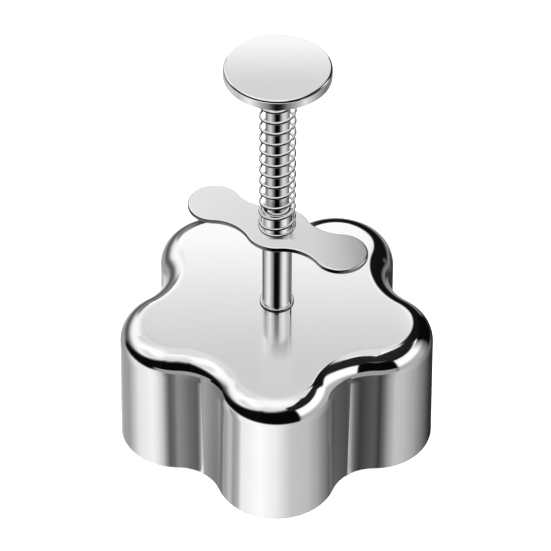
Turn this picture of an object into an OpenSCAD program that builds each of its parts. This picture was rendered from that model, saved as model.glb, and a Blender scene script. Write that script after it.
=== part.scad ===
// Press-type rice ball mold: a flower-shaped drawn steel cup, open below, with a spring-returned
// plunger that pushes the shaped rice out. Two fingers hook under the finger plate and the thumb
// presses the button. The origin is on the plunger axis in the plane of the cup's lower rim.
// Millimetres, +Z up, one lobe facing -Y.

/* [Mold cup] */
// Number of flower lobes
lobe_count = 5; // [4:1:6]
// Distance of each lobe's centre from the axis
lobe_ring_r = 27.6; // [25:0.1:31]
// Outside radius of a lobe
lobe_r = 15.75; // [14:0.05:18]
// Outside radius of the hollow between two lobes
valley_r = 12.5; // [10:0.1:15]
// Height of the cup, rim to top
cup_h = 39; // [32:0.5:50]
// Sheet thickness of the cup
sheet_t = 0.8; // [0.6:0.1:1.2]
// Outside radius of the rounded top edge
edge_r = 6.2; // [4:0.1:7]
// How far the wall opens outwards down to the rim, on each side
rim_flare = 0.5; // [0.1:0.1:1]

/* [Guide tube] */
// Wall of the guide tube
tube_wall = 0.6; // [0.5:0.1:1.2]
// Length of the tube above the finger plate
tube_rise = 7; // [4:0.5:12]
// Chamfer inside the tube's mouth
mouth_chamfer = 0.3; // [0.1:0.05:0.4]
// Width of the lip rolled out at the tube's lower end
lip_w = 1.5; // [1:0.1:2.5]
// Thickness of the rolled lip
lip_t = 0.6; // [0.4:0.1:1]
// Width of the bead ring round the tube's foot
bead_w = 0.55; // [0.4:0.05:1]
// Height of the bead ring
bead_h = 0.6; // [0.4:0.05:1]
// Outside diameter of the washer that backs the tube inside the cup
backing_d = 14; // [12:0.5:18]
// Thickness of the backing washer
backing_t = 1; // [0.6:0.1:1.5]

/* [Finger plate] */
// Clear height for the fingers, cup top to plate
finger_gap = 24.8; // [20:0.1:32]
// Thickness of the finger plate
finger_t = 1.5; // [1.2:0.1:2.5]
// Radius of each wing's round end
wing_r = 7.25; // [6:0.05:9]
// Distance of each wing's centre from the axis
wing_reach = 19.35; // [17:0.05:24]
// Radius of the round middle
hub_r = 8.6; // [7:0.1:11]
// Radius of the waist between the middle and a wing
waist_r = 10.5; // [8:0.1:14]
// Direction of the wings, from +X
wing_angle = -30.7; // [-90:0.1:90]
// Rounding of the plate's edges
finger_edge_r = 0.45; // [0.2:0.05:0.55]

/* [Plunger] */
// Diameter of the push rod
rod_d = 6.4; // [5:0.1:8]
// Sliding gap between the rod and the tube
slide_gap = 0.2; // [0.1:0.05:0.4]
// Diameter of the rod's two end studs
stud_d = 4; // [3.6:0.1:4.4]
// Length of the stud held in the button
stud_len = 1.8; // [1:0.1:2]
// Diameter of the thumb button
button_d = 28; // [22:0.5:36]
// Thickness of the thumb button
button_t = 3; // [2.4:0.1:4]
// Rounding of the button's upper edge
button_top_r = 0.75; // [0.2:0.05:0.9]
// Rounding of the button's lower edge
button_low_r = 0.3; // [0.2:0.1:1.4]

/* [Press plate] */
// Thickness of the press plate
press_t = 1.2; // [0.8:0.1:2]
// Gap between the press plate and the cup where they come closest
press_gap = 0.45; // [0.3:0.05:1]
// Rounding of the press plate's upper edge
press_edge_r = 0.4; // [0.2:0.05:0.6]
// Outside diameter of the washer under the rod's shoulder
press_washer_d = 14; // [12:0.5:18]
// Thickness of that washer
press_washer_t = 1; // [0.6:0.1:1.5]
// Diameter of the screw in the rod's end
screw_d = 2.6; // [2:0.1:3]
// Length of the screw below its head
screw_len = 9; // [6:0.5:14]
// Diameter of the screw's head
screw_head_d = 7.5; // [6:0.1:9]
// Height of the screw's head
screw_head_h = 1.6; // [1.2:0.1:2]
// Span of the cross in the screw's head
cross_span = 3.6; // [2.5:0.1:4.5]
// Width of the cross
cross_w = 0.8; // [0.5:0.1:1]
// Depth of the cross
cross_depth = 0.9; // [0.5:0.1:1]

/* [Return spring] */
// Length of the spring as fitted, finger plate to button
spring_len = 50.9; // [44:0.1:60]
// Diameter of the spring wire
wire_d = 0.8; // [0.5:0.05:0.9]
// Number of coils, end to end
coils = 15.25; // [12:0.25:18]
// Gap between the coils' inside and the guide tube
spring_gap = 0.15; // [0.15:0.05:0.5]
// Rise of the end coils where they leave their seats, for each turn
end_pitch = 0.3; // [0.1:0.1:0.6]
// Turns over which each end opens to the full pitch
end_turns = 1.5; // [1.5:0.1:2]
// Direction from +X in which the lower end of the wire lies
wire_start = 135; // [0:5:360]

/* [Hidden] */
// Gap at fits that don't move, and the seat of the spring on its end faces
fit_gap = 0.04;
seat_gap = 0.05;
// Overshoot of cuts
over = 1;
$fn = 96;

// Flower outline: lobe arcs about the lobe centres, meeting hollow arcs about the valley centres
half_step = 180 / lobe_count;
front = 270;
valley_ring_r = lobe_ring_r * cos(half_step)
    + sqrt(pow(lobe_r + valley_r, 2) - pow(lobe_ring_r * sin(half_step), 2));
lobe_half_arc = atan2(valley_ring_r * sin(half_step),
                      valley_ring_r * cos(half_step) - lobe_ring_r);
valley_half_arc = lobe_half_arc - half_step;
straight_h = cup_h - edge_r;

// Steps along each arc of the outlines, and round the edges
lobe_steps = 16;
valley_steps = 8;
wing_steps = 24;
waist_steps = 8;
hub_steps = 6;
edge_steps = 8;
small_edge_steps = 3;

// Radii and heights that follow from the sizes above
bore_r = rod_d / 2 + slide_gap;
tube_r = bore_r + tube_wall;
cup_roof = cup_h - sheet_t;
lip_low = cup_roof - backing_t - lip_t;
shoulder_z = lip_low;
press_top = shoulder_z - press_washer_t;
press_low = press_top - press_t;
finger_low = cup_h + finger_gap;
finger_top = finger_low + finger_t;
tube_top = finger_top + tube_rise;
button_low = finger_top + spring_len;

// The press plate stays inside the rounded roof of the cup at rest
roof_r = edge_r - sheet_t;
roof_rise = max(0, press_top - straight_h);
roof_bite = roof_r - sqrt(pow(roof_r, 2) - pow(roof_rise, 2));
press_inset = sheet_t + roof_bite + press_gap;

// Finger plate: waist circles touch the middle and a wing
waist_x = (pow(hub_r + waist_r, 2) - pow(wing_r + waist_r, 2) + pow(wing_reach, 2))
    / (2 * wing_reach);
waist_y = sqrt(pow(hub_r + waist_r, 2) - pow(waist_x, 2));
wing_half_arc = atan2(waist_y, waist_x - wing_reach);
hub_start = atan2(waist_y, waist_x);

// Spring: pitch opens evenly from end_pitch over the end turns
coil_r = tube_r + spring_gap + wire_d / 2;
rings_per_coil = 16;
wire_sides = 6;
coil_rise = spring_len - 2 * seat_gap - wire_d;
full_pitch = (coil_rise - end_turns * end_pitch) / (coils - end_turns);

function polar(r, a) = r * [cos(a), sin(a)];
function lobe_centre(i) = polar(lobe_ring_r, front + 2 * half_step * i);
function valley_centre(i) = polar(valley_ring_r, front + 2 * half_step * i + half_step);

// Points of an arc, without its two ends where trim is 1
function arc(centre, r, from, to, steps, trim = 0) =
    [for (s = [trim : steps - trim]) centre + polar(r, from + (to - from) * s / steps)];
function raised(outline, z) = [for (p = outline) [p.x, p.y, z]];

// Outline of the flower, inset from the cup's outside: each lobe's arc, then the hollow after it
function flower(inset) = [for (i = [0 : lobe_count - 1])
    let (out = front + 2 * half_step * i, back = out + half_step + 180)
    each concat(
        arc(lobe_centre(i), lobe_r - inset, out - lobe_half_arc, out + lobe_half_arc, lobe_steps),
        arc(valley_centre(i), valley_r + inset, back + valley_half_arc, back - valley_half_arc,
            valley_steps, 1))];

// Outline of the finger plate, inset from its edge: one wing, a waist, half the middle and the next
// waist, then the same again half a turn on
function bow_tie(inset) = [for (turn = [0, 180])
    let (wing = polar(wing_reach, turn), waist = norm([waist_x, waist_y]))
    each concat(
        arc(wing, wing_r - inset, turn - wing_half_arc, turn + wing_half_arc, wing_steps),
        arc(polar(waist, turn + hub_start), waist_r + inset, turn + wing_half_arc - 180,
            turn + hub_start - 180, waist_steps, 1),
        arc([0, 0], hub_r - inset, turn + hub_start, turn + 180 - hub_start, hub_steps),
        arc(polar(waist, turn + 180 - hub_start), waist_r + inset, turn - hub_start,
            turn - wing_half_arc, waist_steps, 1))];

// Quarter rounding of an edge as pairs of inset and rise, from the wall up to the top
function rounding(r, steps) =
    [for (s = [0 : steps]) r * [1 - cos(90 * s / steps), sin(90 * s / steps)]];

// Triangles between two neighbouring loops of n points, the first starting at point a, the next at b
function strip(a, b, n) = [for (k = [0 : n - 1])
    let (m = (k + 1) % n) each [[a + k, b + m, a + m], [a + k, b + k, b + m]]];
// Triangles that close a loop and face down: a fan round the centre point c, or, for a loop that is
// its own mirror image about its point s, rungs from side to side
function fan(a, n, c) = [for (k = [0 : n - 1]) [a + k, a + (k + 1) % n, c]];
function rungs(a, n, s) = [for (j = [0 : n / 2 - 1])
    let (right = a + (s + n - j) % n, left = a + (s + j) % n,
         next_left = a + (s + j + 1) % n, next_right = a + (s + n - j - 1) % n)
    each [if (right != left) [right, left, next_left],
          if (next_left != next_right) [right, next_left, next_right]]];
function turned(faces) = [for (f = faces) [f[2], f[1], f[0]]];

// Solid through loops that lie above one another, each round the axis
module loft(loops, mirror_at = -1) {
    n = len(loops[0]);
    last = len(loops) - 1;
    centre = len(loops) * n;
    starry = mirror_at < 0;
    polyhedron(
        points = [for (loop = loops) each loop,
                  if (starry) each [[0, 0, loops[0][0].z], [0, 0, loops[last][0].z]]],
        faces = [each starry ? fan(0, n, centre) : rungs(0, n, mirror_at),
                 each turned(starry ? fan(last * n, n, centre + 1) : rungs(last * n, n, mirror_at)),
                 for (j = [0 : last - 1]) each strip(j * n, (j + 1) * n, n)]);
}

// Sheet between outside and inside loops that run up from a shared rim to two roofs
module lofted_shell(outside, inside) {
    n = len(outside[0]);
    m = len(outside);
    roof = m - 1;
    ceiling = m + len(inside) - 1;
    centre = (ceiling + 1) * n;
    polyhedron(
        points = [for (loop = concat(outside, inside)) each loop,
                  [0, 0, outside[roof][0].z], [0, 0, inside[len(inside) - 1][0].z]],
        faces = [each turned(fan(roof * n, n, centre)), each fan(ceiling * n, n, centre + 1),
                 for (j = [0 : roof - 1]) each strip(j * n, (j + 1) * n, n),
                 for (j = [m : ceiling - 1]) each strip((j + 1) * n, j * n, n),
                 each strip(m * n, 0, n)]);
}

// Half section of a round-edged disc from its axis out to radius r
module disc_section(r, low, high, low_edge, high_edge) {
    polygon([[0, low], [r - low_edge, low], [r, low + low_edge],
             [r, high - high_edge], [r - high_edge, high], [0, high]]);
    if (low_edge > 0) translate([r - low_edge, low + low_edge]) circle(low_edge);
    if (high_edge > 0) translate([r - high_edge, high - high_edge]) circle(high_edge);
}

// Flat ring on the axis
module ring(outer_r, inner_r, low, high) {
    rotate_extrude() translate([inner_r, low]) square([outer_r - inner_r, high - low]);
}

// Wall and rounded top of one face of the sheet, offset in from the outside by the given inset
function cup_loops(inset) = [
    raised(flower(inset - rim_flare), 0),
    for (e = rounding(edge_r - inset, edge_steps)) raised(flower(inset + e[0]), straight_h + e[1])];

module mold_cup() color("gainsboro") difference() {
    lofted_shell(cup_loops(0), cup_loops(sheet_t));
    translate([0, 0, cup_roof - over]) cylinder(r = tube_r + fit_gap, h = sheet_t + 2 * over);
}

// Tube with its lower end rolled out over the backing washer
module guide_tube() color("silver") rotate_extrude()
    polygon([[bore_r, lip_low], [tube_r + lip_w, lip_low], [tube_r + lip_w, lip_low + lip_t],
             [tube_r, lip_low + lip_t], [tube_r, tube_top], [bore_r + mouth_chamfer, tube_top],
             [bore_r, tube_top - mouth_chamfer]]);

module foot_bead() color("lightgray") rotate_extrude() {
    inner = tube_r + fit_gap;
    translate([inner, cup_h]) square([bead_w - bead_h / 2, bead_h]);
    intersection() {
        translate([inner + bead_w - bead_h / 2, cup_h + bead_h / 2]) circle(bead_h / 2);
        translate([inner, cup_h]) square([bead_w, bead_h]);
    }
}

module backing_washer() color("silver")
    ring(backing_d / 2, tube_r + fit_gap, lip_low + lip_t, cup_roof);

// Round middle with two wings, joined by waists, all edges rounded
module finger_plate() color("gainsboro") rotate(wing_angle) difference() {
    edge = rounding(finger_edge_r, small_edge_steps);
    loft([for (s = [small_edge_steps : -1 : 0])
              raised(bow_tie(edge[s][0]), finger_low + finger_edge_r - edge[s][1]),
          for (e = edge) raised(bow_tie(e[0]), finger_top - finger_edge_r + e[1])],
         mirror_at = wing_steps / 2);
    translate([0, 0, finger_low - over]) cylinder(r = tube_r + fit_gap, h = finger_t + 2 * over);
}

// Height of the wire's centre after u turns from an end
function end_rise(u) = end_pitch * u + (full_pitch - end_pitch) * u * u / (2 * end_turns);
function wire_rise(u) =
    u < end_turns ? end_rise(u)
    : u > coils - end_turns ? coil_rise - end_rise(coils - u)
    : end_rise(end_turns) + full_pitch * (u - end_turns);
function wire_point(u) =
    [each polar(coil_r, wire_start + 360 * u), finger_top + seat_gap + wire_d / 2 + wire_rise(u)];
function unit(v) = v / norm(v);
function wire_along(u) = unit(wire_point(u + 0.01) - wire_point(u - 0.01));
// One ring of the wire at a point, square to the direction it runs in
function wire_ring(point, along, a) =
    let (out = [cos(a), sin(a), 0], up = unit(cross(along, out)), side = cross(up, along))
    [for (k = [0 : wire_sides - 1])
        point + wire_d / 2 * (cos(360 * k / wire_sides) * side + sin(360 * k / wire_sides) * up)];

wire_steps = round(coils * rings_per_coil);
wire_turns = [for (s = [0 : wire_steps]) coils * s / wire_steps];
wire_path = [for (u = wire_turns) wire_point(u)];
// Least gap of the wire to itself, from each point to the points half a turn or more ahead
wire_gap = min([for (s = [0 : wire_steps - rings_per_coil])
    min([for (t = [s + rings_per_coil / 2 : min(wire_steps, s + 2 * rings_per_coil)])
        norm(wire_path[t] - wire_path[s])])]) - wire_d;
echo(spring_least_gap = wire_gap);

// One unbroken wire, its two ends straight for one wire diameter
module return_spring() color("silver") {
    first = wire_along(0);
    last = wire_along(coils);
    rings = [wire_ring(wire_path[0] - wire_d * first, first, wire_start),
             for (u = wire_turns) wire_ring(wire_point(u), wire_along(u), wire_start + 360 * u),
             wire_ring(wire_path[wire_steps] + wire_d * last, last, wire_start + 360 * coils)];
    ends = len(rings) - 1;
    polyhedron(
        points = [for (r = rings) each r],
        faces = [
            for (k = [1 : wire_sides - 2]) [0, k + 1, k],
            for (s = [0 : ends - 1], k = [0 : wire_sides - 1])
                let (a = s * wire_sides + k, b = s * wire_sides + (k + 1) % wire_sides)
                each [[a, b, b + wire_sides], [a, b + wire_sides, a + wire_sides]],
            for (k = [1 : wire_sides - 2]) ends * wire_sides * [1, 1, 1] + [0, k, k + 1]
        ]);
}

// Rod turned from one profile, with a stud at each end and a tapped hole for the screw
module push_rod() color("silver") rotate_extrude() {
    hole_r = screw_d / 2 + fit_gap;
    hole_top = press_low + screw_len + fit_gap;
    stud_top = button_low + stud_len;
    polygon([[hole_r, press_low], [stud_d / 2, press_low], [stud_d / 2, shoulder_z],
             [rod_d / 2, shoulder_z], [rod_d / 2, button_low], [stud_d / 2, button_low],
             [stud_d / 2, stud_top], [0, stud_top], [0, hole_top], [hole_r, hole_top]]);
}

module thumb_button() color("gainsboro") difference() {
    rotate_extrude()
        disc_section(button_d / 2, button_low, button_low + button_t, button_low_r, button_top_r);
    translate([0, 0, button_low - over])
        cylinder(d = stud_d + 2 * fit_gap, h = stud_len + fit_gap + over);
}

module press_washer() color("silver")
    ring(press_washer_d / 2, stud_d / 2 + fit_gap, press_top, shoulder_z);

module press_plate() color("gainsboro") difference() {
    loft([raised(flower(press_inset), press_low),
          for (e = rounding(press_edge_r, small_edge_steps))
              raised(flower(press_inset + e[0]), press_top - press_edge_r + e[1])]);
    translate([0, 0, press_low - over]) cylinder(d = stud_d + 2 * fit_gap, h = press_t + 2 * over);
}

// Low round-headed screw with a cross recess, driven up into the rod
module press_screw() color("silver") difference() {
    union() {
        translate([0, 0, press_low - screw_head_h / 2])
            cylinder(d = screw_d, h = screw_len + screw_head_h / 2);
        rotate_extrude() disc_section(screw_head_d / 2, press_low - screw_head_h, press_low,
                                      screw_head_h / 2, 0);
    }
    for (turn = [0, 90]) rotate(turn)
        translate([-cross_span / 2, -cross_w / 2, press_low - screw_head_h - over])
            cube([cross_span, cross_w, cross_depth + over]);
}

mold_cup();
guide_tube();
foot_bead();
backing_washer();
finger_plate();
return_spring();
push_rod();
thumb_button();
press_washer();
press_plate();
press_screw();
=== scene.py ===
import math

import bmesh
import bpy
from mathutils import Matrix, Vector


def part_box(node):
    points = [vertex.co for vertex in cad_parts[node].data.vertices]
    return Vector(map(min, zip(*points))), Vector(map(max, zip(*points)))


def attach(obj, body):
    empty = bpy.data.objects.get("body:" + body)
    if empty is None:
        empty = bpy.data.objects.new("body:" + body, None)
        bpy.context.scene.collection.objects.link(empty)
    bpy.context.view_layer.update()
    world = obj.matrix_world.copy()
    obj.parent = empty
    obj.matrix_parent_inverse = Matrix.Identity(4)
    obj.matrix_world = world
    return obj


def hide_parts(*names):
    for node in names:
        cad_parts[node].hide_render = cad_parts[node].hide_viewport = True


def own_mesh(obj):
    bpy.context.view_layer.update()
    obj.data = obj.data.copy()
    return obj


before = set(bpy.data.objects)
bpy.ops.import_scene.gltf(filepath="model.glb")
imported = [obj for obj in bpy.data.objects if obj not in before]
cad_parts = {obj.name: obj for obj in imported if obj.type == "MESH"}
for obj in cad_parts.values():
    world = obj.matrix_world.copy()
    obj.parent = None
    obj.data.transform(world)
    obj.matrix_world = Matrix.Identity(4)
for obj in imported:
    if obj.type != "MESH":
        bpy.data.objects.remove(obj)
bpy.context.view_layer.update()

scene = bpy.context.scene
scene.view_settings.view_transform = "Standard"
mm = 0.001
print("frame loaded:", len(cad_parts), "nodes")


# Camera at the photographed angle

photoView = {
    "target": (0, 0, 48.05 * mm),  # point of the plunger axis in the middle of the picture
    "elevation": 41.95,  # degrees above the table
    "distance": 928.6 * mm,
    "roll": 0.269,  # degrees
    "lens": 227.05,
    "sensor": 36,
    "shiftX": -0.0026,
}


def makeCamera(view):
    data = bpy.data.cameras.new("camera")
    data.sensor_width = view["sensor"]
    data.lens = view["lens"]
    data.shift_x = view["shiftX"]
    camera = bpy.data.objects.new("camera", data)
    scene.collection.objects.link(camera)
    tilt = math.radians(view["elevation"])
    back = Vector((0, -math.cos(tilt), math.sin(tilt)))
    aim = (-back).to_track_quat("-Z", "Y").to_matrix().to_4x4()
    roll = Matrix.Rotation(math.radians(view["roll"]), 4, "Z")
    place = Matrix.Translation(Vector(view["target"]) + back * view["distance"])
    camera.matrix_world = place @ aim @ roll
    scene.camera = camera


makeCamera(photoView)
print("camera placed")


# Outlines, profiles and meshes

smoothing = {
    "arcStep": math.radians(6),  # one facet of a rounded edge
    "guard": 0.15 * mm,  # extra loop beside each rounded edge, keeps flat faces flat
    "sharpAngle": math.radians(35),
    "axisRadius": 0.02 * mm,  # tiny loop where a turned profile meets the axis
}


def polar(radius, angle):
    return Vector((radius * math.cos(angle), radius * math.sin(angle)))


def arcPoints(centre, radius, start, end, steps):
    return [centre + polar(radius, start + (end - start) * s / steps) for s in range(steps + 1)]


def circle(radius, steps=120):
    return arcPoints(Vector((0, 0)), radius, 0, math.tau, steps)[:-1]


def lift(outline, z):
    return [Vector((p.x, p.y, z)) for p in outline]


# Corners are (across, height, rounding); a rounding above 0 turns the corner into an arc
def roundedPath(corners, guard=smoothing["guard"]):
    path = []
    for i, (across, height, rounding) in enumerate(corners):
        here = Vector((across, height))
        if not rounding:
            path.append(here)
            continue
        toPrevious = (Vector(corners[i - 1][:2]) - here).normalized()
        toNext = (Vector(corners[(i + 1) % len(corners)][:2]) - here).normalized()
        half = toPrevious.angle(toNext) / 2
        reach = rounding / math.tan(half)
        centre = here + (toPrevious + toNext).normalized() * rounding / math.sin(half)
        first = here + toPrevious * reach - centre
        last = here + toNext * reach - centre
        start = math.atan2(first.y, first.x)
        turn = (math.atan2(last.y, last.x) - start + math.pi) % math.tau - math.pi
        steps = max(2, math.ceil(abs(turn) / smoothing["arcStep"]))
        path.append(here + toPrevious * (reach + guard))
        path += arcPoints(centre, rounding, start, start + turn, steps)
        path.append(here + toNext * (reach + guard))
    return path


# Skin through loops of equal length. It closes on itself, or round a hole, or with flat ends
def skinLoops(name, loops, holeLoops=None, closed=False):
    bm = bmesh.new()

    def addRows(group):
        rows = [[bm.verts.new(point) for point in loop] for loop in group]
        for low, high in zip(rows, rows[1:]):
            joinRows(low, high)
        return rows

    def joinRows(low, high):
        for k in range(len(low)):
            bm.faces.new((low[k - 1], low[k], high[k], high[k - 1]))

    def rowEdges(row):
        return [bm.edges.get((row[k - 1], row[k])) for k in range(len(row))]

    rows = addRows(loops)
    if closed:
        joinRows(rows[-1], rows[0])
    elif holeLoops:
        holeRows = addRows(holeLoops)
        for outer, inner in ((rows[0], holeRows[-1]), (rows[-1], holeRows[0])):
            rim = rowEdges(outer) + rowEdges(inner)
            bmesh.ops.triangle_fill(bm, edges=rim, use_beauty=True)
    else:
        bm.faces.new(rows[0])
        bm.faces.new(rows[-1])
    bmesh.ops.recalc_face_normals(bm, faces=bm.faces[:])
    for face in bm.faces:
        face.smooth = True
    for edge in bm.edges:
        edge.smooth = edge.calc_face_angle(math.pi) < smoothing["sharpAngle"]
    mesh = bpy.data.meshes.new(name)
    bm.to_mesh(mesh)
    bm.free()
    return mesh


def turnedMesh(name, corners, closed=True, steps=120):
    axis = smoothing["axisRadius"]
    loops = [lift(circle(max(p.x, axis), steps), p.y) for p in roundedPath(corners)]
    return skinLoops(name, loops, closed=closed)


def addPiece(name, mesh, node, body, material):
    piece = bpy.data.objects.new(name, mesh)
    scene.collection.objects.link(piece)
    mesh.materials.append(material)
    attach(piece, body)
    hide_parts(node)
    return piece


# Finishes: shared effects are node groups, the shaders stay in each material

def newGroup(name, inputs, outputs):
    group = bpy.data.node_groups.new(name, "ShaderNodeTree")
    for label, default in inputs.items():
        socket = group.interface.new_socket(label, in_out="INPUT", socket_type="NodeSocketFloat")
        socket.default_value = default
    for label in outputs:
        group.interface.new_socket(label, in_out="OUTPUT", socket_type="NodeSocketFloat")
    return group, group.nodes.new("NodeGroupInput"), group.nodes.new("NodeGroupOutput")


def addNode(tree, kind, **values):
    node = tree.nodes.new(kind)
    for key, value in values.items():
        if hasattr(node, key):
            setattr(node, key, value)
        else:
            node.inputs[key].default_value = value
    return node


# Links a value that comes from a node, or sets a plain number
def feed(tree, value, socket):
    if isinstance(value, bpy.types.NodeSocket):
        tree.links.new(value, socket)
    else:
        socket.default_value = value


def mathNode(tree, operation, first, second=None):
    node = tree.nodes.new("ShaderNodeMath")
    node.operation = operation
    feed(tree, first, node.inputs[0])
    if second is not None:
        feed(tree, second, node.inputs[1])
    return node.outputs[0]


polish = {
    "turns": (0.3, 1.4, 2.5),  # one layer of hairlines each
    "twist": (1, 0.7, 1.9),  # share of the turn about each axis
    "stretch": (1, 14, 14),
}


# Faint cloudiness and fine random hairlines that polishing leaves
def makePolishMarks():
    group, inside, outside = newGroup(
        "polishMarks", {"Cloud Scale": 90, "Hairline Scale": 260}, ["Cloud", "Hairlines"])
    place = addNode(group, "ShaderNodeTexCoord").outputs["Object"]
    cloud = addNode(group, "ShaderNodeTexNoise", Detail=4, Roughness=0.55)
    group.links.new(place, cloud.inputs["Vector"])
    group.links.new(inside.outputs["Cloud Scale"], cloud.inputs["Scale"])
    group.links.new(cloud.outputs["Fac"], outside.inputs["Cloud"])
    hairlines = None
    for turn in polish["turns"]:
        lay = addNode(group, "ShaderNodeMapping")
        lay.inputs["Rotation"].default_value = [turn * share for share in polish["twist"]]
        lay.inputs["Scale"].default_value = polish["stretch"]
        group.links.new(place, lay.inputs["Vector"])
        grain = addNode(group, "ShaderNodeTexNoise", Detail=2, Roughness=0.5)
        group.links.new(lay.outputs["Vector"], grain.inputs["Vector"])
        group.links.new(inside.outputs["Hairline Scale"], grain.inputs["Scale"])
        height = grain.outputs["Fac"]
        hairlines = height if hairlines is None else mathNode(group, "ADD", hairlines, height)
    mean = mathNode(group, "MULTIPLY", hairlines, 1 / len(polish["turns"]))
    group.links.new(mean, outside.inputs["Hairlines"])
    return group


# Parallel brushing strokes along one direction in the plane
def makeBrushStrokes():
    group, inside, outside = newGroup(
        "brushStrokes", {"Direction": 0, "Stroke Scale": 60, "Fineness": 40}, ["Strokes"])
    place = addNode(group, "ShaderNodeTexCoord").outputs["Object"]
    turn = addNode(group, "ShaderNodeVectorRotate", rotation_type="Z_AXIS")
    group.links.new(place, turn.inputs["Vector"])
    angle = mathNode(group, "MULTIPLY", inside.outputs["Direction"], -1)
    group.links.new(angle, turn.inputs["Angle"])
    split = addNode(group, "ShaderNodeSeparateXYZ")
    group.links.new(turn.outputs["Vector"], split.inputs["Vector"])
    stretch = addNode(group, "ShaderNodeCombineXYZ")
    group.links.new(split.outputs["X"], stretch.inputs["X"])
    across = mathNode(group, "MULTIPLY", split.outputs["Y"], inside.outputs["Fineness"])
    group.links.new(across, stretch.inputs["Y"])
    group.links.new(split.outputs["Z"], stretch.inputs["Z"])
    grain = addNode(group, "ShaderNodeTexNoise", Detail=3, Roughness=0.6)
    group.links.new(stretch.outputs["Vector"], grain.inputs["Vector"])
    group.links.new(inside.outputs["Stroke Scale"], grain.inputs["Scale"])
    group.links.new(grain.outputs["Fac"], outside.inputs["Strokes"])
    return group


# How level the surface lies: Up is 1 on tops only, Level on tops and undersides
def makeTurnMask():
    group, inside, outside = newGroup("turnMask", {"Low": 0.992, "High": 1}, ["Up", "Level"])
    normal = addNode(group, "ShaderNodeTexCoord").outputs["Normal"]
    split = addNode(group, "ShaderNodeSeparateXYZ")
    group.links.new(normal, split.inputs["Vector"])
    rise = split.outputs["Z"]
    for label, value in (("Up", rise), ("Level", mathNode(group, "ABSOLUTE", rise))):
        ramp = addNode(group, "ShaderNodeMapRange", interpolation_type="SMOOTHSTEP")
        group.links.new(value, ramp.inputs["Value"])
        group.links.new(inside.outputs["Low"], ramp.inputs["From Min"])
        group.links.new(inside.outputs["High"], ramp.inputs["From Max"])
        group.links.new(ramp.outputs["Result"], outside.inputs[label])
    return group


# Height of a plate that bows down to both sides of its middle
def makeBow():
    group, inside, outside = newGroup("bow", {"Start": 0, "Curve": 1}, ["Height"])
    split = addNode(group, "ShaderNodeSeparateXYZ")
    group.links.new(addNode(group, "ShaderNodeTexCoord").outputs["Object"], split.inputs["Vector"])
    reach = mathNode(group, "ABSOLUTE", split.outputs["X"])
    reach = mathNode(group, "SUBTRACT", reach, inside.outputs["Start"])
    reach = mathNode(group, "MAXIMUM", reach, 0)
    square = mathNode(group, "MULTIPLY", reach, reach)
    drop = mathNode(group, "MULTIPLY", square, inside.outputs["Curve"])
    group.links.new(mathNode(group, "MULTIPLY", drop, -1), outside.inputs["Height"])
    return group


polishMarks = makePolishMarks()
brushStrokes = makeBrushStrokes()
turnMask = makeTurnMask()
bow = makeBow()


def placeGroup(tree, group, **values):
    node = tree.nodes.new("ShaderNodeGroup")
    node.node_tree = group
    for key, value in values.items():
        node.inputs[key.replace("_", " ")].default_value = value
    return node


# value = middle + swing * (mark - 0.5)
def around(tree, mark, middle, swing):
    centred = mathNode(tree, "SUBTRACT", mark, 0.5)
    return mathNode(tree, "ADD", mathNode(tree, "MULTIPLY", centred, swing), middle)


# sides: painted shade on the sides: heights of the normal between which a side turns into a face, the mask
# that tells, the side's painted grey.
# bow: distance from the middle where a plate starts to bow in its shading, and how fast it drops
def steelMaterial(name, steel):
    material = bpy.data.materials.new(name)
    material.use_nodes = True
    tree = material.node_tree
    shader = tree.nodes["Principled BSDF"]
    shader.inputs["Metallic"].default_value = 1
    marks = placeGroup(tree, polishMarks, Cloud_Scale=steel["cloudScale"],
                       Hairline_Scale=steel["hairlineScale"])
    roughness = around(tree, marks.outputs["Cloud"], steel["roughness"], steel["cloudSwing"])
    height = marks.outputs["Hairlines"]
    if "strokeScale" in steel:
        strokes = placeGroup(tree, brushStrokes, Direction=steel["strokeDirection"],
                             Stroke_Scale=steel["strokeScale"], Fineness=steel["strokeFineness"])
        height = strokes.outputs["Strokes"]
        roughness = mathNode(tree, "ADD", roughness, around(tree, height, 0, steel["strokeSwing"]))
    if "flatRoughness" in steel:
        flat = placeGroup(tree, turnMask)
        lapped = mathNode(tree, "MULTIPLY", flat.outputs["Up"], steel["flatRoughness"])
        roughness = mathNode(tree, "ADD", roughness, lapped)
    tree.links.new(roughness, shader.inputs["Roughness"])
    tint = addNode(tree, "ShaderNodeMix", data_type="RGBA")
    tint.inputs["A"].default_value = (*steel["dark"], 1)
    tint.inputs["B"].default_value = (*steel["light"], 1)
    tree.links.new(marks.outputs["Cloud"], tint.inputs["Factor"])
    colour = tint.outputs["Result"]
    # Painted shade: where the mask is low (sides, and with Up also undersides) the base colour turns dark
    # grey
    if "sides" in steel:
        low, high, side, paintedShade = steel["sides"]
        turn = placeGroup(tree, turnMask, Low=low, High=high)
        sides = addNode(tree, "ShaderNodeMix", data_type="RGBA")
        sides.inputs["A"].default_value = (paintedShade, paintedShade, paintedShade, 1)
        tree.links.new(colour, sides.inputs["B"])
        tree.links.new(turn.outputs[side], sides.inputs["Factor"])
        colour = sides.outputs["Result"]
    tree.links.new(colour, shader.inputs["Base Color"])
    bump = addNode(tree, "ShaderNodeBump", Strength=steel["bump"], Distance=steel["bumpDepth"])
    tree.links.new(height, bump.inputs["Height"])
    if "bow" in steel:
        start, curve = steel["bow"]
        bowed = placeGroup(tree, bow, Start=start, Curve=curve)
        bend = addNode(tree, "ShaderNodeBump", Strength=1, Distance=1)
        tree.links.new(bowed.outputs["Height"], bend.inputs["Height"])
        tree.links.new(bend.outputs["Normal"], bump.inputs["Normal"])
    tree.links.new(bump.outputs["Normal"], shader.inputs["Normal"])
    return material


wingAngle = math.radians(-30.7)  # direction of the finger plate's wings, from +X

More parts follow.
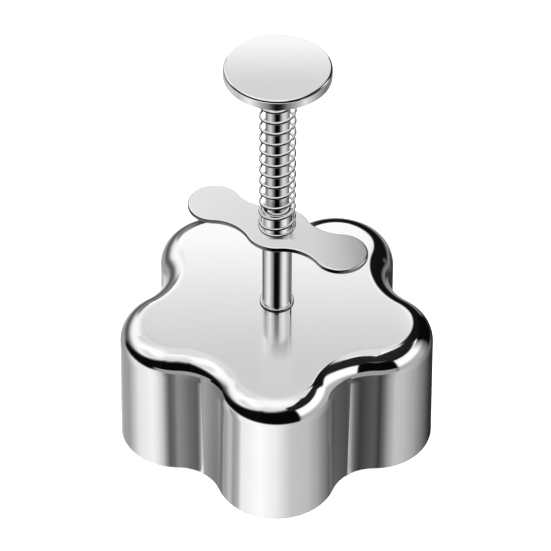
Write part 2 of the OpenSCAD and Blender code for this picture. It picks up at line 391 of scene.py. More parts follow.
mirrorSteel = steelMaterial("mirrorSteel", {
    "dark": (0.875, 0.876, 0.88), "light": (0.93, 0.93, 0.932),
    "roughness": 0.05, "cloudScale": 70, "cloudSwing": 0.02, "hairlineScale": 240,
    "flatRoughness": 0.05, "bump": 0.03, "bumpDepth": 0.01 * mm,
})
turnedSteel = steelMaterial("turnedSteel", {
    "dark": (0.86, 0.86, 0.866), "light": (0.92, 0.92, 0.923),
    "roughness": 0.06, "cloudScale": 150, "cloudSwing": 0.03, "hairlineScale": 420,
    "bump": 0.04, "bumpDepth": 0.01 * mm,
})
# Foot bead: painted shade darkens its sides and underside, leaving its top bright
beadSteel = steelMaterial("beadSteel", {
    "dark": (0.84, 0.84, 0.845), "light": (0.9, 0.9, 0.903),
    "roughness": 0.08, "cloudScale": 300, "cloudSwing": 0.03, "hairlineScale": 600,
    "sides": (0.3, 0.8, "Up", 0.16), "bump": 0.03, "bumpDepth": 0.01 * mm,
})
satinSteel = steelMaterial("satinSteel", {
    "dark": (0.8, 0.8, 0.806), "light": (0.87, 0.87, 0.873),
    "roughness": 0.24, "cloudScale": 120, "cloudSwing": 0.05, "hairlineScale": 300,
    "strokeDirection": wingAngle, "strokeScale": 70, "strokeFineness": 34, "strokeSwing": 0.1,
    "bump": 0.06, "bumpDepth": 0.02 * mm,
})
# Finger plate: painted shade darkens its edge faces; tops and undersides keep the steel's colour
plateSteel = steelMaterial("plateSteel", {
    "dark": (0.93, 0.93, 0.934), "light": (0.98, 0.98, 0.98),
    "roughness": 0.1, "cloudScale": 120, "cloudSwing": 0.04, "hairlineScale": 300,
    "strokeDirection": wingAngle, "strokeScale": 70, "strokeFineness": 34, "strokeSwing": 0.06,
    "flatRoughness": 0.22, "sides": (0.35, 0.75, "Level", 0.2), "bow": (3 * mm, 3.2),
    "bump": 0.04, "bumpDepth": 0.02 * mm,
})
buttonSteel = steelMaterial("buttonSteel", {
    "dark": (0.88, 0.88, 0.885), "light": (0.93, 0.93, 0.932),
    "roughness": 0.05, "cloudScale": 110, "cloudSwing": 0.02, "hairlineScale": 320,
    "flatRoughness": 0.06, "bump": 0.03, "bumpDepth": 0.01 * mm,
})
# Spring wire: painted shade darkens the wire's sides and undersides, leaving a bright top
springWire = steelMaterial("springWire", {
    "dark": (0.84, 0.84, 0.85), "light": (0.92, 0.92, 0.925),
    "roughness": 0.07, "cloudScale": 500, "cloudSwing": 0.04, "hairlineScale": 900,
    "sides": (0.4, 0.85, "Up", 0.1), "bump": 0.04, "bumpDepth": 0.01 * mm,
})
print("finishes mixed")


# Cup: one drawn sheet with five lobes, open below

cupSize = {
    "lobes": 5,
    "lobeRing": 27.6 * mm,
    "lobeRadius": 15.75 * mm,
    "valleyRadius": 12.5 * mm,
    "sheet": 0.8 * mm,
    "edgeRadius": 6.2 * mm,  # rounded top edge
    "flare": 0.5 * mm,  # how far the wall opens towards the rim
    "rimRounding": 0.25 * mm,
    "tubeHole": 4.04 * mm,
    "flat": 0.4 * mm,  # from the rounded edge to the first loop of the roof
    "guard": 0.25 * mm,
    "lobeSteps": 60,
    "valleySteps": 30,
}


def flowerOutline(inset):
    cup = cupSize
    step = math.tau / cup["lobes"]
    half = step / 2
    reach = cup["lobeRadius"] + cup["valleyRadius"]
    valleyRing = cup["lobeRing"] * math.cos(half) + math.sqrt(
        reach ** 2 - (cup["lobeRing"] * math.sin(half)) ** 2)
    lobeHalf = math.atan2(valleyRing * math.sin(half), valleyRing * math.cos(half) - cup["lobeRing"])
    valleyHalf = lobeHalf - half
    points = []
    for i in range(cup["lobes"]):
        out = -math.pi / 2 + step * i
        back = out + half + math.pi
        points += arcPoints(polar(cup["lobeRing"], out), cup["lobeRadius"] - inset,
                            out - lobeHalf, out + lobeHalf, cup["lobeSteps"])
        points += arcPoints(polar(valleyRing, out + half), cup["valleyRadius"] + inset,
                            back + valleyHalf, back - valleyHalf, cup["valleySteps"])[1:-1]
    return points


def makeCup():
    cup = cupSize
    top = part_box("mold_cup")[1].z
    sheet, edge, flare = cup["sheet"], cup["edgeRadius"], cup["flare"]
    lean = flare * edge / (top - edge)  # where the slanted wall would meet the top
    flatStart = edge + cup["flat"]
    section = roundedPath([
        (flatStart, top, 0),
        (lean, top, edge),
        (-flare, 0, cup["rimRounding"]),
        (sheet - flare, 0, cup["rimRounding"]),
        (sheet + lean, top - sheet, edge - sheet),
        (flatStart, top - sheet, 0),
    ], guard=cup["guard"])
    loops = [lift(flowerOutline(p.x), p.y) for p in section]
    hole = circle(cup["tubeHole"])
    mesh = skinLoops("cup", loops, [lift(hole, top - sheet), lift(hole, top)])
    addPiece("cup", mesh, "mold_cup", "mold", mirrorSteel)


makeCup()
print("cup drawn")


# Guide tube with its foot bead and the washer behind its rolled end

tubeSize = {
    "bore": 3.4 * mm,
    "radius": 4.0 * mm,
    "chamfer": 0.3 * mm,
    "lipWidth": 1.5 * mm,
    "lipThickness": 0.6 * mm,
    "lipRounding": 0.25 * mm,
    "edge": 0.08 * mm,
    "fit": 0.04 * mm,
    "beadCrown": 0.28 * mm,
    "washerEdge": 0.12 * mm,
}


def makeTube():
    tube = tubeSize
    low, high = (corner.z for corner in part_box("guide_tube"))
    lipTop = low + tube["lipThickness"]
    lipRadius = tube["radius"] + tube["lipWidth"]
    edge = tube["edge"]
    mesh = turnedMesh("tube", [
        (tube["bore"], low, edge),
        (lipRadius, low, tube["lipRounding"]),
        (lipRadius, lipTop, edge),
        (tube["radius"], lipTop, 0),
        (tube["radius"], high, edge),
        (tube["bore"] + tube["chamfer"], high, 0),
        (tube["bore"], high - tube["chamfer"], 0),
    ])
    addPiece("tube", mesh, "guide_tube", "mold", turnedSteel)


def makeBead():
    low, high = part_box("foot_bead")
    inner = tubeSize["radius"] + tubeSize["fit"]
    crown = tubeSize["beadCrown"]
    mesh = turnedMesh("footBead", [
        (inner, low.z, 0), (high.x, low.z, crown), (high.x, high.z, crown), (inner, high.z, 0),
    ])
    addPiece("footBead", mesh, "foot_bead", "mold", beadSteel)


def makeWasher(name, node, body, hole):
    low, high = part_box(node)
    edge = tubeSize["washerEdge"]
    mesh = turnedMesh(name, [
        (hole, low.z, edge), (high.x, low.z, edge), (high.x, high.z, edge), (hole, high.z, edge),
    ])
    addPiece(name, mesh, node, body, satinSteel)


makeTube()
makeBead()
makeWasher("backingWasher", "backing_washer", "mold", tubeSize["radius"] + tubeSize["fit"])
print("tube fitted")


# Finger plate: two round wings on a round middle

plateSize = {
    "wingRadius": 7.25 * mm,
    "wingReach": 19.35 * mm,
    "hubRadius": 8.6 * mm,
    "waistRadius": 10.5 * mm,
    "edge": 0.45 * mm,
    "flat": 0.3 * mm,  # from the rounded edge to the first loop of the faces
    "hole": 4.04 * mm,
    "wingSteps": 72,
    "waistSteps": 28,
    "hubSteps": 24,
}


def bowTieOutline(inset):
    plate = plateSize
    reach, waist = plate["wingReach"], plate["waistRadius"]
    hubSum = plate["hubRadius"] + waist
    wingSum = plate["wingRadius"] + waist
    waistX = (hubSum ** 2 - wingSum ** 2 + reach ** 2) / (2 * reach)
    waistY = math.sqrt(hubSum ** 2 - waistX ** 2)
    wingHalf = math.atan2(waistY, waistX - reach)
    hubStart = math.atan2(waistY, waistX)
    points = []
    for turn in (wingAngle, wingAngle + math.pi):
        points += arcPoints(polar(reach, turn), plate["wingRadius"] - inset,
                            turn - wingHalf, turn + wingHalf, plate["wingSteps"])
        points += arcPoints(polar(hubSum, turn + hubStart), waist + inset,
                            turn + wingHalf - math.pi, turn + hubStart - math.pi, plate["waistSteps"])[1:-1]
        points += arcPoints(Vector((0, 0)), plate["hubRadius"] - inset,
                            turn + hubStart, turn + math.pi - hubStart, plate["hubSteps"])
        points += arcPoints(polar(hubSum, turn + math.pi - hubStart), waist + inset,
                            turn - hubStart, turn - wingHalf, plate["waistSteps"])[1:-1]
    return points


def makeFingerPlate():
    low, high = (corner.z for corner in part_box("finger_plate"))
    edge = plateSize["edge"]
    flatStart = edge + plateSize["flat"]
    section = roundedPath([
        (flatStart, high, 0), (0, high, edge), (0, low, edge), (flatStart, low, 0)])
    loops = [lift(bowTieOutline(p.x), p.y) for p in section]
    hole = circle(plateSize["hole"])
    mesh = skinLoops("fingerPlate", loops, [lift(hole, low), lift(hole, high)])
    plate = addPiece("fingerPlate", mesh, "finger_plate", "mold", plateSteel)
    plate.visible_glossy = False


makeFingerPlate()
print("finger plate fitted")


# Return spring: one round wire that opens from closed ends to the full pitch

springSize = {
    "wire": 0.8 * mm,
    "coilRadius": 4.55 * mm,  # to the middle of the wire
    "coils": 15.25,
    "endPitch": 0.3 * mm,
    "endTurns": 1.5,
    "start": math.radians(135),
    "seat": 0.05 * mm,
    "probe": 0.01,  # turns to each side that give the wire's direction
    "ringsPerCoil": 48,
    "sides": 14,
}


def makeSpring():
    spring = springSize
    wire, coils, endTurns = spring["wire"], spring["coils"], spring["endTurns"]
    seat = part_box("finger_plate")[1].z
    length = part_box("thumb_button")[0].z - seat
    rise = length - 2 * spring["seat"] - wire
    fullPitch = (rise - endTurns * spring["endPitch"]) / (coils - endTurns)

    def endRise(turns):
        opening = (fullPitch - spring["endPitch"]) * turns ** 2 / (2 * endTurns)
        return spring["endPitch"] * turns + opening

    def wireHeight(turns):
        if turns < endTurns:
            return endRise(turns)
        if turns > coils - endTurns:
            return rise - endRise(coils - turns)
        return endRise(endTurns) + fullPitch * (turns - endTurns)

    def wirePoint(turns):
        flat = polar(spring["coilRadius"], spring["start"] + math.tau * turns)
        return Vector((flat.x, flat.y, seat + spring["seat"] + wire / 2 + wireHeight(turns)))

    def wireRing(turns, slide=0):
        probe = spring["probe"]
        along = (wirePoint(turns + probe) - wirePoint(turns - probe)).normalized()
        out = polar(1, spring["start"] + math.tau * turns).to_3d()
        up = along.cross(out).normalized()
        side = up.cross(along)
        centre = wirePoint(turns) + along * slide
        return [centre + (side * p.x + up * p.y) for p in circle(wire / 2, spring["sides"])]

    steps = round(coils * spring["ringsPerCoil"])
    rings = [wireRing(0, -wire)]
    rings += [wireRing(coils * s / steps) for s in range(steps + 1)]
    rings.append(wireRing(coils, wire))
    mesh = skinLoops("spring", rings)
    piece = addPiece("spring", mesh, "return_spring", "mold", springWire)
    piece.visible_glossy = False
    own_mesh(piece)


makeSpring()
print("spring wound")


# Plunger: rod, thumb button, washer, press plate and screw

plungerSize = {
    "rodRadius": 3.2 * mm,
    "studRadius": 2.0 * mm,
    "screwHole": 1.34 * mm,
    "screwHoleDepth": 9.04 * mm,
    "rodEdge": 0.15 * mm,
    "buttonRadius": 14 * mm,
    "buttonTopEdge": 0.75 * mm,
    "buttonLowEdge": 0.3 * mm,
    "buttonSteps": 180,
    "pressEdge": 0.4 * mm,
    "pressLowEdge": 0.12 * mm,
    "pressFlat": 0.3 * mm,  # from the rounded edge to the first loop of the faces
    "pressInset": 2.03 * mm,
    "pressHole": 2.04 * mm,
}


def makeRod():
    size = plungerSize
    low, high = (corner.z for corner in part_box("push_rod"))
    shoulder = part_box("press_washer")[1].z
    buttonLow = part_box("thumb_button")[0].z
    edge = size["rodEdge"]
    holeTop = low + size["screwHoleDepth"]
    mesh = turnedMesh("rod", [
        (0, holeTop, 0),
        (size["screwHole"], holeTop, 0),
        (size["screwHole"], low, 0),
        (size["studRadius"], low, edge),
        (size["studRadius"], shoulder, 0),
        (size["rodRadius"], shoulder, edge),
        (size["rodRadius"], buttonLow, 0),
        (size["studRadius"], buttonLow, 0),
        (size["studRadius"], high, edge),
        (0, high, 0),
    ], closed=False)
    rod = addPiece("rod", mesh, "push_rod", "plunger", turnedSteel)
    rod.visible_glossy = False


def makeButton():
    size = plungerSize
    low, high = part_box("thumb_button")
    hole = size["studRadius"] + tubeSize["fit"]
    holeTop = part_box("push_rod")[1].z + tubeSize["fit"]
    mesh = turnedMesh("button", [
        (0, high.z, 0),
        (high.x, high.z, size["buttonTopEdge"]),
        (high.x, low.z, size["buttonLowEdge"]),
        (hole, low.z, 0),
        (hole, holeTop, 0),
        (0, holeTop, 0),
    ], closed=False, steps=size["buttonSteps"])
    button = addPiece("button", mesh, "thumb_button", "plunger", buttonSteel)
    button.visible_glossy = False


def makePressPlate():
    size = plungerSize
    low, high = (corner.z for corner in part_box("press_plate"))
    inset, edge = size["pressInset"], size["pressEdge"]
    flatStart = inset + edge + size["pressFlat"]
    section = roundedPath([
        (flatStart, high, 0), (inset, high, edge), (inset, low, size["pressLowEdge"]), (flatStart, low, 0)])
    loops = [lift(flowerOutline(p.x), p.y) for p in section]
    hole = circle(size["pressHole"])
    mesh = skinLoops("pressPlate", loops, [lift(hole, low), lift(hole, high)])
    addPiece("pressPlate", mesh, "press_plate", "plunger", satinSteel)


makeRod()
makeButton()
makePressPlate()
makeWasher("pressWasher", "press_washer", "plunger", plungerSize["pressHole"])
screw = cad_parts["press_screw"]
screw.data.materials.clear()
screw.data.materials.append(satinSteel)
print("plunger assembled")


# Studio: a white room with panels and flags that the polished steel mirrors.
# Brightness is given as seen in the picture, azimuth 0 is behind the object, 90 at its right

studio = {
    "cameraWhite": 1.0,
    "floorLight": 2.6,
    "displayPower": 2.2,
    "steelShare": 0.9,  # light that the steel gives back
    "secondBounce": 1.5,  # glossy depth above which a ray was mirrored twice
    "mirrorRounds": 3,  # rounds that settle the angle in which a bar mirrors a point
    "ringSteps": 72,
    "frontFrom": 60,  # azimuth beyond which a ring lies in front
    "clothGap": 0.4 * mm,  # rings above the cup's top
    "tableEdge": (-18, -7),  # elevation where the table passes into the room
    # (elevation, brightness) of the room, from the horizon up
    "dome": [
        (-20, 0.62), (-8, 0.5), (0, 0.36), (7, 0.36), (14, 0.55), (22, 0.84),
        (30, 0.96), (40, 0.97), (46, 0.84), (58, 0.84), (80, 0.98),
    ],
    # (azimuth, brightness) of the table, which the walls mirror
    "table": [
        (-180, 0.92), (-150, 0.99), (-95, 0.89), (-65, 0.6), (-38, 0.62), (-8, 0.92), (8, 0.92),
        (12, 0.22), (38, 0.2), (65, 0.43), (95, 0.63), (120, 0.73), (150, 0.75), (180, 0.92),
    ],
    # (azimuth from, to, softness), (elevation from, to, softness), rise per degree of azimuth, brightness;
    # each one covers those before it
    "panels": [
        ((-135, -60, 15), (36, 74, 10), 0, 1),  # left soft light, greyer low in front
        ((-145, -92, 8), (34, 50, 6), 0, 0.86),
        ((138, 214, 3), (-60, 51, 9), -0.2, 0.06),  # front flags, falling towards the left
        ((210, 296, 6), (-76, 23, 8), -0.54, 0.07),
        ((17, 60, 3), (40, 60, 3), 0.25, 0.14),  # flags over the right soft light
        ((55, 150, 5), (44, 66, 3), 0, 0.14),
        ((62, 137, 4), (-30, 22, 8), 0, 0.68),  # right soft light, grey below
        ((58, 137, 3), (13, 39, 8), -0.12, 1),
        ((-9, 57, 4), (4, 34, 4), 0, 0.09),  # flag behind, higher at the right
        ((14, 57, 4), (28, 50, 4), 0, 0.1),
        ((-24, -7, 4), (15, 28, 6), 0, 0.45),
    ],
}


def blendNode(tree, low, high, share):
    blend = addNode(tree, "ShaderNodeMix", data_type="FLOAT")
    feed(tree, low, blend.inputs["A"])
    feed(tree, high, blend.inputs["B"])
    feed(tree, share, blend.inputs["Factor"])
    return blend.outputs["Result"]


# Ramp over (share, brightness, cover) stops; a stop without cover covers fully
def rampNode(tree, share, stops):
    ramp = addNode(tree, "ShaderNodeValToRGB")
    while len(ramp.color_ramp.elements) < len(stops):
        ramp.color_ramp.elements.new(1)
    for element, (place, value, *cover) in zip(ramp.color_ramp.elements, stops):
        element.position = place
        element.color = (value, value, value, *(cover or [1]))
    tree.links.new(share, ramp.inputs["Fac"])
    return ramp.outputs["Color"], ramp.outputs["Alpha"]


# Stops given by azimuth in degrees, as shares of the full turn
def azimuthStops(stops):
    return [(azimuth / 360 + 0.5, *rest) for azimuth, *rest in stops]


# Light that the display shows at the wanted brightness after one reflection in steel
def lampLight(tree, seen):
    power = mathNode(tree, "POWER", seen, studio["displayPower"])
    return mathNode(tree, "DIVIDE", power, studio["steelShare"])


def azimuthShare(tree, vector):
    split = addNode(tree, "ShaderNodeSeparateXYZ")
    tree.links.new(vector, split.inputs["Vector"])
    azimuth = mathNode(tree, "ARCTAN2", split.outputs["X"], split.outputs["Y"])
    return mathNode(tree, "ADD", mathNode(tree, "DIVIDE", azimuth, math.tau), 0.5), split.outputs["Z"]


# 1 inside a panel of the room, 0 outside, with soft edges; all in degrees
def makePanelMask():
    group, inside, outside = newGroup("panelMask", {
        "Azimuth": 0, "Elevation": 0, "Azimuth Middle": 0, "Azimuth Half": 10, "Azimuth Soft": 1,
        "Elevation Middle": 0, "Elevation Half": 10, "Elevation Soft": 1, "Tilt": 0}, ["Mask"])
    aside = mathNode(group, "SUBTRACT", inside.outputs["Azimuth"], inside.outputs["Azimuth Middle"])
    aside = mathNode(group, "ADD", aside, 180)
    aside = mathNode(group, "SUBTRACT", mathNode(group, "FLOORED_MODULO", aside, 360), 180)
    above = mathNode(group, "SUBTRACT", inside.outputs["Elevation"], inside.outputs["Elevation Middle"])
    above = mathNode(group, "SUBTRACT", above, mathNode(group, "MULTIPLY", aside, inside.outputs["Tilt"]))
    mask = None
    for way, offset in (("Azimuth", aside), ("Elevation", above)):
        offset = mathNode(group, "ABSOLUTE", offset)
        edge = addNode(group, "ShaderNodeMapRange", interpolation_type="SMOOTHSTEP")
        half, soft = inside.outputs[way + " Half"], inside.outputs[way + " Soft"]
        group.links.new(offset, edge.inputs["Value"])
        group.links.new(mathNode(group, "ADD", half, soft), edge.inputs["From Min"])
        group.links.new(mathNode(group, "SUBTRACT", half, soft), edge.inputs["From Max"])
        result = edge.outputs["Result"]
        mask = result if mask is None else mathNode(group, "MULTIPLY", mask, result)
    group.links.new(mask, outside.inputs["Mask"])
    return group


panelMask = makePanelMask()


def makeRoom(room):
    world = bpy.data.worlds.new("studio")
    scene.world = world
    world.use_nodes = True
    tree = world.node_tree
    background = tree.nodes["Background"]
    share, height = azimuthShare(tree, addNode(tree, "ShaderNodeTexCoord").outputs["Generated"])
    azimuth = mathNode(tree, "MULTIPLY", mathNode(tree, "SUBTRACT", share, 0.5), 360)
    elevation = mathNode(tree, "DEGREES", mathNode(tree, "ARCSINE", height))
    rise = mathNode(tree, "ADD", mathNode(tree, "DIVIDE", elevation, 180), 0.5)
    table, _ = rampNode(tree, share, azimuthStops(room["table"]))
    dome, _ = rampNode(tree, rise, [(e / 180 + 0.5, value) for e, value in room["dome"]])
    light = dome
    for (left, right, side), (low, high, edge), tilt, value in room["panels"]:
        panel = placeGroup(
            tree, panelMask, Azimuth_Middle=(left + right) / 2, Azimuth_Half=(right - left) / 2,
            Azimuth_Soft=side, Elevation_Middle=(low + high) / 2, Elevation_Half=(high - low) / 2,
            Elevation_Soft=edge, Tilt=tilt)
        tree.links.new(azimuth, panel.inputs["Azimuth"])
        tree.links.new(elevation, panel.inputs["Elevation"])
        light = blendNode(tree, light, value, panel.outputs["Mask"])
    tableLow, tableHigh = room["tableEdge"]
    horizon = addNode(tree, "ShaderNodeMapRange", interpolation_type="SMOOTHSTEP")
    horizon.inputs["From Min"].default_value = tableLow
    horizon.inputs["From Max"].default_value = tableHigh
    tree.links.new(elevation, horizon.inputs["Value"])
    light = blendNode(tree, table, light, horizon.outputs["Result"])
    light = lampLight(tree, light)
    rays = addNode(tree, "ShaderNodeLightPath")
    light = blendNode(tree, light, room["floorLight"], rays.outputs["Is Diffuse Ray"])
    light = blendNode(tree, light, room["cameraWhite"], rays.outputs["Is Camera Ray"])
    tree.links.new(light, background.inputs["Color"])


# Shows a shader on the upper side of a sheet and leaves the other side clear
def upSide(tree, shader):
    clear = addNode(tree, "ShaderNodeBsdfTransparent")
    sides = addNode(tree, "ShaderNodeMixShader")
    tree.links.new(addNode(tree, "ShaderNodeNewGeometry").outputs["Backfacing"], sides.inputs[0])
    tree.links.new(shader, sides.inputs[1])
    tree.links.new(clear.outputs[0], sides.inputs[2])
    tree.links.new(sides.outputs[0], tree.nodes["Material Output"].inputs["Surface"])


floorSize = {
    "radius": 2,
    "segments": 96,
    "drop": 0.02 * mm,  # below the cup's rim
    "paint": (0.95, 0.95, 0.95, 1),
    "roughness": 0.9,
}


def makeFloor():
    size = floorSize
    bm = bmesh.new()
    bmesh.ops.create_circle(bm, cap_ends=True, segments=size["segments"], radius=size["radius"])
    mesh = bpy.data.meshes.new("floor")
    bm.to_mesh(mesh)
    bm.free()
    floor = bpy.data.objects.new("floor", mesh)
    scene.collection.objects.link(floor)
    floor.location.z = -size["drop"]
    material = bpy.data.materials.new("floorPaint")
    material.use_nodes = True
    tree = material.node_tree
    shader = tree.nodes["Principled BSDF"]
    shader.inputs["Base Color"].default_value = size["paint"]
    shader.inputs["Roughness"].default_value = size["roughness"]
    shader.inputs["Specular IOR Level"].default_value = 0
    upSide(tree, shader.outputs[0])
    mesh.materials.append(material)
    floor.visible_glossy = False


# A panel, flag or cloth that only reflections see; with twice only second reflections, with reach only
# those of pieces nearer than that
def addReflector(name, mesh, shareOf, stops, twice=False, reach=None):
    panel = bpy.data.objects.new(name, mesh)
    scene.collection.objects.link(panel)
    material = bpy.data.materials.new(name)
    material.use_nodes = True
    tree = material.node_tree
    tree.nodes.remove(tree.nodes["Principled BSDF"])
    seen, cover = rampNode(tree, shareOf(tree), stops)
    glow = addNode(tree, "ShaderNodeEmission")
    tree.links.new(lampLight(tree, seen), glow.inputs["Color"])
    rays = addNode(tree, "ShaderNodeLightPath")
    if twice:
        again = mathNode(tree, "GREATER_THAN", rays.outputs["Glossy Depth"], studio["secondBounce"])
        cover = mathNode(tree, "MULTIPLY", cover, again)
    if reach:
        near = mathNode(tree, "LESS_THAN", rays.outputs["Ray Length"], reach)
        cover = mathNode(tree, "MULTIPLY", cover, near)
    blend = addNode(tree, "ShaderNodeMixShader")
    tree.links.new(cover, blend.inputs[0])
    tree.links.new(addNode(tree, "ShaderNodeBsdfTransparent").outputs[0], blend.inputs[1])
    tree.links.new(glow.outputs[0], blend.inputs[2])
    upSide(tree, blend.outputs[0])
    mesh.materials.append(material)
    panel.visible_camera = False
    panel.visible_diffuse = False
    panel.visible_shadow = False
    return panel


# Quad with corners in millimetres, shaded along its width ("X") or its height ("Y")
def makePanel(name, corners, way, stops, reach=None):
    mesh = bpy.data.meshes.new(name)
    mesh.from_pydata([tuple(c * mm for c in corner) for corner in corners], [], [(0, 1, 2, 3)])
    uv = mesh.uv_layers.new(name="share")
    for loop, place in zip(uv.data, ((0, 0), (1, 0), (1, 1), (0, 1))):
        loop.uv = place

    def shareOf(tree):
        split = addNode(tree, "ShaderNodeSeparateXYZ")
        tree.links.new(addNode(tree, "ShaderNodeTexCoord").outputs["UV"], split.inputs["Vector"])
        return split.outputs[way]

    addReflector(name, mesh, shareOf, stops, reach=reach)


# Azimuth in which a bar of the given radius mirrors this point, 0 to 1
def mirroredShare(tree, bar):
    place = addNode(tree, "ShaderNodeTexCoord").outputs["Object"]
    split = addNode(tree, "ShaderNodeSeparateXYZ")
    tree.links.new(place, split.inputs["Vector"])
    length = addNode(tree, "ShaderNodeVectorMath", operation="LENGTH")
    tree.links.new(place, length.inputs[0])
    flat = mathNode(tree, "MULTIPLY", split.outputs["Y"], -1)
    bearing = mathNode(tree, "ARCTAN2", split.outputs["X"], flat)
    turned = mathNode(tree, "MULTIPLY", bearing, 0.5)
    near = mathNode(tree, "DIVIDE", bar, length.outputs["Value"])
    for _ in range(studio["mirrorRounds"]):
        sine = mathNode(tree, "SINE", turned)
        lean = mathNode(tree, "ARCSINE", mathNode(tree, "MULTIPLY", near, sine))
        turned = mathNode(tree, "MULTIPLY", mathNode(tree, "ADD", bearing, lean), 0.5)
    share = mathNode(tree, "SUBTRACT", 1, mathNode(tree, "DIVIDE", turned, math.pi))
    return mathNode(tree, "FRACT", share)


# Ring round the axis between two rims (radius, z), shaded by the azimuth in which a bar in it mirrors it
def makeRing(name, rims, bar, stops, twice=False, reach=None):
    steps = studio["ringSteps"]
    bm = bmesh.new()
    rows = [[bm.verts.new((*p, z)) for p in circle(radius, steps)] for radius, z in rims]
    for k in range(steps):
        bm.faces.new((rows[0][k - 1], rows[0][k], rows[1][k], rows[1][k - 1]))
    mesh = bpy.data.meshes.new(name)
    bm.to_mesh(mesh)
    bm.free()
    # the ring's own origin lies in its plane
    mesh.transform(Matrix.Translation((0, 0, -rims[0][1])))

    def shareOf(tree):
        return mirroredShare(tree, bar)

    ring = addReflector(name, mesh, shareOf, azimuthStops(stops), twice, reach)
    ring.location.z = rims[0][1]


# A ring's stops in front only, dimmed by a share
def frontOnly(stops, share=1):
    front = studio["frontFrom"]
    return [(a, value * share, 1 if abs(a) > front else 0) for a, value, *_ in stops]


makeRoom(studio)
makeFloor()
# Graded panel behind the object, mirrored by the cup's top and the finger plate
makePanel("backPanel", [(-60, 120, 100), (26, 120, 100), (64, 120, 240), (-60, 120, 240)], "Y", [
    (0, 1), (0.16, 0.98), (0.4, 0.85), (0.52, 0.8), (1, 0.81)])
# Light strips at its left and its upper right, for the rim of the cup's top
makePanel("leftLight", [(-125, 119, 128), (-17, 119, 128), (-103, 119, 230), (-211, 119, 230)], "X", [
    (0, 0.97, 0), (0.3, 0.98, 1), (0.66, 0.92, 1), (0.88, 0.88, 0)])
makePanel("rimLight", [(40, 119.5, 186), (64, 119.5, 186), (64, 119.5, 232), (40, 119.5, 232)], "X", [
    (0, 0.88, 0), (0.3, 0.88, 1), (1, 0.88, 1)])
# Graded slope behind the button, mirrored by the button's top
makePanel("buttonPanel", [
    (-18, 15.5, 120.6), (18, 15.5, 120.6), (22, 114, 233.8), (-22, 114, 233.8)], "Y", [
    (0, 0.97), (0.1, 0.96), (0.3, 0.88), (0.45, 0.82), (1, 0.8)])
# Dark card over the right front valley
makePanel("valleyShade", [(30, -29, 98), (56, 16, 98), (72, -50, 98), (25, -72, 98)], "X", [
    (0, 0.15), (1, 0.15)])
# Dark flag beside the right lobe
makePanel("rightLobeFlag", [(48, 16, 33), (48, -17, 33), (48, -17, 48), (48, 16, 48)], "X", [
    (0, 0.06, 0), (0.15, 0.06, 1), (0.75, 0.06, 1), (1, 0.4, 0)], reach=30 * mm)
# Grey cards over the rims of both front valleys
makePanel("leftValleyCard", [(-46, -24, 97), (-46, 8, 97), (-14, 8, 97), (-14, -24, 97)], "Y", [
    (0, 0.87, 0), (0.3, 0.86, 1), (0.7, 0.86, 1), (1, 0.86, 0)])
makePanel("rightValleyCard", [(14, -24, 97), (14, 8, 97), (34, 8, 97), (34, -24, 97)], "Y", [
    (0, 0.86, 0), (0.4, 0.86, 1), (1, 0.86, 1)])
# Grey card behind the right back valley
makePanel("backValleyCard", [(28, 60, 4), (62, 60, 4), (62, 60, 34), (28, 60, 34)], "X", [
    (0, 0.6, 1), (0.7, 0.55, 1), (1, 0.4, 0)])
# Dark core with light flanks, mirrored by the tube, the rod and the button's side, each from its own rings
tubeShade = [
    (-180, 0.06), (-165, 0.06), (-148, 0.54), (-116, 0.95), (-84, 0.75), (-52, 0.4), (-36, 0.32),
    (-24, 0.4, 0), (24, 0.6, 0), (38, 0.6), (52, 0.36), (68, 0.42), (116, 0.94), (136, 0.86), (150, 0.62),
    (165, 0.14), (180, 0.05)]
rodShade = [
    (-180, 0.01), (-165, 0.04), (-148, 0.44), (-116, 0.82), (-100, 0.78), (-84, 0.71), (-52, 0.44),
    (52, 0.44), (84, 0.72), (100, 0.8), (116, 0.85), (136, 0.74), (150, 0.5), (165, 0.12), (180, 0.01)]
buttonShade = [
    (-180, 0.1), (-174, 0.15), (-160, 0.5), (-120, 0.93), (-90, 0.75), (-60, 0.8), (60, 0.45), (80, 0.57),
    (120, 0.87), (160, 0.46), (174, 0.15), (180, 0.1)]

tubeRadius = tubeSize["radius"]
rodRadius = plungerSize["rodRadius"]
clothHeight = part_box("mold_cup")[1].z + studio["clothGap"]
for name, inner, outer, bar, stops in (
        ("tubeCloth", 4.7, 27, tubeRadius, tubeShade),
        ("tubeClothFront", 31, 41, tubeRadius, frontOnly(tubeShade)),
        ("rodClothLow", 41, 46, rodRadius, frontOnly(rodShade, 0.76)),
        ("rodCloth", 46, 88, rodRadius, rodShade),
        ("buttonCloth", 88, 130, plungerSize["buttonRadius"], buttonShade)):
    makeRing(name, ((outer * mm, clothHeight), (inner * mm, clothHeight)), bar, stops)
# Light strip that lets the tube's mirror image fade out towards the front
makePanel("streakFade", [(-4.6, -5, 39.6), (4.6, -5, 39.6), (4.6, -5, 74), (-4.6, -5, 74)], "Y", [
    (0, 0.86, 0.2), (0.2, 0.85, 0.3), (0.5, 0.82, 1), (1, 0.8, 1)])
# Light flanks of the tube's mirror image
makeRing("streakFlanks", ((16 * mm, 62.5 * mm), (32 * mm, 62.5 * mm)), tubeRadius, [
    (-166, 0.5, 0), (-160, 0.6, 1), (-130, 0.95, 1), (-80, 0.55, 1), (-30, 0.5, 0), (60, 0.75, 0),
    (90, 0.75, 1), (130, 0.95, 1), (160, 0.75, 1), (166, 0.6, 0)], twice=True)
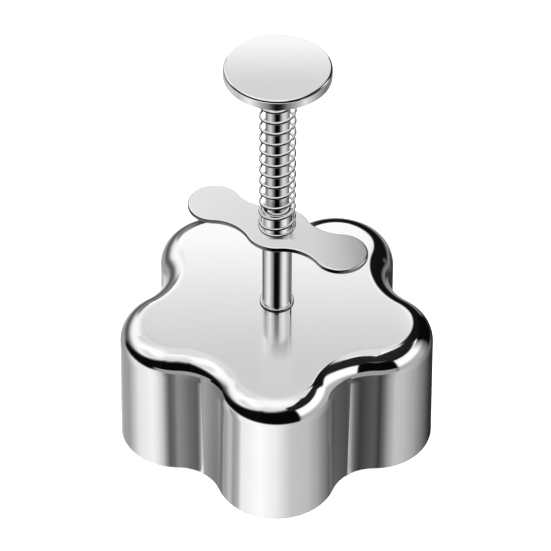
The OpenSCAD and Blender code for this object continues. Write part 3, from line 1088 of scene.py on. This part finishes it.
# Dark band round the button, seen in its rounded upper edge
makeRing("buttonBand", ((34 * mm, 141 * mm), (34 * mm, 122.4 * mm)), 0, [
    (-180, 0.05, 1), (-96, 0.05, 1), (-88, 0.05, 0), (88, 0.05, 0), (96, 0.05, 1), (180, 0.05, 1),
], reach=55 * mm)
# Flags in the two front valleys, across the mouth and along the front lobe's side, and one at its left
makePanel("rightMouthFlag", [(48, -33, -14), (22, -33, -14), (22, -33, 32), (48, -33, 32)], "X", [
    (0, 0.78, 0), (0.3, 0.74, 1), (0.5, 0.6, 1), (0.72, 0.24, 1), (0.84, 0.4, 1), (0.92, 0.42, 1),
    (1, 0.5, 0)])
makePanel("leftMouthFlag", [(-22, -33, -14), (-48, -33, -14), (-48, -33, 32), (-22, -33, 32)], "X", [
    (0, 0.66, 0), (0.08, 0.66, 1), (0.16, 0.62, 1), (0.26, 0.41, 1), (0.36, 0.35, 1), (0.54, 0.76, 1),
    (0.7, 0.88, 1), (1, 0.92, 0)])
makePanel("rightMouthTop", [(44, -33, 32), (22, -33, 32), (22, -33, 37), (44, -33, 37)], "X", [
    (0, 0.6, 0), (0.25, 0.6, 1), (1, 0.6, 1)])
makePanel("leftMouthTop", [(-22, -33, 32), (-44, -33, 32), (-44, -33, 36), (-22, -33, 36)], "X", [
    (0, 0.6, 1), (0.75, 0.6, 1), (1, 0.6, 0)])
makePanel("rightSideFlag", [
    (19.9, -25.9, -9), (16.5, -33.5, -9), (16.5, -33.5, 35.2), (19.9, -25.9, 35.2)], "X", [
    (0, 0.4), (0.2, 0.3), (0.5, 0.36), (1, 0.44)])
makePanel("leftSideFlag", [
    (-16.5, -33.5, -9), (-20.4, -25.4, -9), (-20.4, -25.4, 35), (-16.5, -33.5, 35)], "X", [
    (0, 0.44), (0.5, 0.48), (0.8, 0.62), (1, 0.5)])
makePanel("frontLeftFlag", [(-34, -50, -30), (-34, -34, -30), (-34, -34, 27), (-34, -50, 27)], "X", [
    (0, 0.75, 0), (0.3, 0.68, 1), (0.7, 0.58, 1), (1, 0.5, 0)])
print("studio lit")
